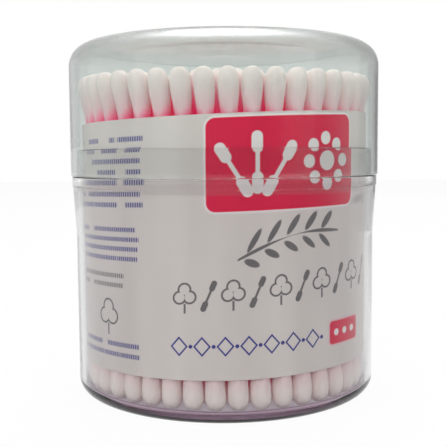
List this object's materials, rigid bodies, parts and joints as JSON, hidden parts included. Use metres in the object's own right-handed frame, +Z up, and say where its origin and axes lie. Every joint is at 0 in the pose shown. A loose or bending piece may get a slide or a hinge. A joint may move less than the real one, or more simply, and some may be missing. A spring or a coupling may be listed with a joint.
{
  "type": "cotton swab tub",
  "caption": "Round clear plastic tub with a deep lift-off lid, a printed paper sleeve and cotton swabs standing upright in rings.",
  "frame": {"origin": "middle of the foot's resting ring, at the bottom of the tub", "axes": "+Z up the tub's axis, -Y towards the printed front of the label"},
  "size_m": [0.075, 0.075, 0.0834],
  "materials": {
    "tub_polystyrene": "clear, glossy",
    "lid_polystyrene": "clear, glossy",
    "label_paper": "coated, printed",
    "stick_plastic": "satin",
    "cotton": "soft, fibrous"
  },
  "bodies": {
    "tub": {"tub": "tub_polystyrene", "label_sleeve": "label_paper", "sticks_ring_1": "stick_plastic", "bottom_heads_ring_1": "cotton", "top_heads_ring_1": "cotton", "sticks_ring_2": "stick_plastic", "bottom_heads_ring_2": "cotton", "top_heads_ring_2": "cotton", "sticks_ring_3": "stick_plastic", "bottom_heads_ring_3": "cotton", "top_heads_ring_3": "cotton", "sticks_ring_4": "stick_plastic", "bottom_heads_ring_4": "cotton", "top_heads_ring_4": "cotton", "sticks_ring_5": "stick_plastic", "bottom_heads_ring_5": "cotton", "top_heads_ring_5": "cotton", "sticks_ring_6": "stick_plastic", "bottom_heads_ring_6": "cotton", "top_heads_ring_6": "cotton", "sticks_ring_7": "stick_plastic", "bottom_heads_ring_7": "cotton", "top_heads_ring_7": "cotton", "sticks_ring_8": "stick_plastic", "bottom_heads_ring_8": "cotton", "top_heads_ring_8": "cotton"},
    "lid": {"lid": "lid_polystyrene"}
  },
  "joints": [
    {"name": "lid_lift", "type": "slide", "parent": "tub", "child": "lid", "axis": [0, 0, 1], "range_m": [0, 0.04]}
  ]
}
